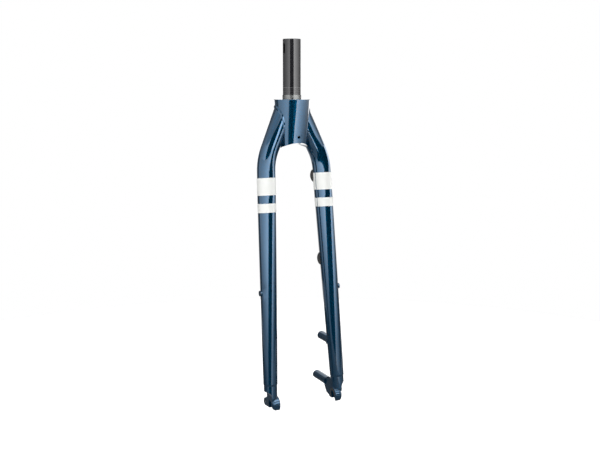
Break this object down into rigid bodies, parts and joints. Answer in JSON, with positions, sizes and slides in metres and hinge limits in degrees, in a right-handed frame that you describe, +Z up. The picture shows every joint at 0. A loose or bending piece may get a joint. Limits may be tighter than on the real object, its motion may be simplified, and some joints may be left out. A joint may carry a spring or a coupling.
{
  "type": "rigid bicycle fork",
  "caption": "Rigid disc-brake bicycle fork: threadless steerer, conical crown, bent tapered legs with white bands, open dropouts, brake posts and rubber hose ports.",
  "frame": {"origin": "on the steering axis, at the crown's top face, where the crown race sits", "axes": "+Z up the steerer, -Y forward in the direction of travel, +X to the rider's left, the brake side"},
  "size_m": [0.143, 0.0904, 0.5857],
  "materials": {
    "frame_paint": "deep gloss navy paint",
    "steerer_paint": "gloss black, bare metal at the race seat",
    "white_film": "gloss white film",
    "rubber": "matt black rubber"
  },
  "bodies": {
    "root": {"steerer_tube": "steerer_paint", "crown": "frame_paint", "right_leg": "frame_paint", "left_leg": "frame_paint", "right_dropout": "frame_paint", "left_dropout": "frame_paint", "upper_brake_post": "frame_paint", "right_rack_boss": "frame_paint", "left_rack_boss": "frame_paint", "right_crown_weld": "frame_paint", "left_crown_weld": "frame_paint", "right_dropout_weld": "frame_paint", "left_dropout_weld": "frame_paint", "upper_post_weld": "frame_paint", "right_upper_band": "white_film", "right_lower_band": "white_film", "left_upper_band": "white_film", "left_lower_band": "white_film", "upper_hose_grommet": "rubber", "lower_hose_grommet": "rubber"}
  },
  "joints": []
}
